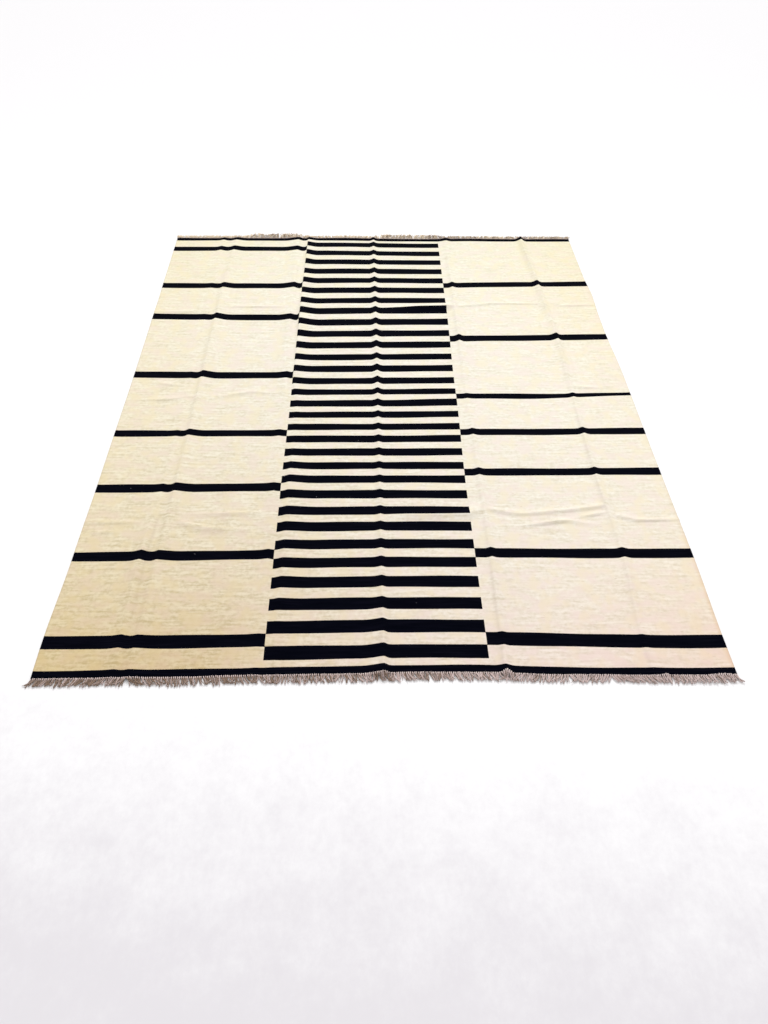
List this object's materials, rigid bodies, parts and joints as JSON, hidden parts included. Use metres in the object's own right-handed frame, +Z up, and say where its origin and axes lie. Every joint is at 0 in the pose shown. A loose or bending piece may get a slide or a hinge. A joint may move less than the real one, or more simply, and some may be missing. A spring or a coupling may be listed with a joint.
{
  "type": "kilim",
  "caption": "Flat-woven wool floor rug, cream with black cross stripes in three columns, creased from folding, with a short knotted fringe at both ends.",
  "frame": {"origin": "centre of the rug's footprint, on the floor", "axes": "+Z up from the floor, +Y along the rug towards the end that is far from the picture's camera, +X across the rug to the right"},
  "size_m": [1.8262, 2.3826, 0.016],
  "materials": {
    "woven_wool": "matt flat-woven wool",
    "fringe_yarn": "matt plied wool yarn"
  },
  "bodies": {
    "root": {"cloth": "woven_wool", "fringe_near": "fringe_yarn", "fringe_far": "fringe_yarn"}
  },
  "joints": []
}
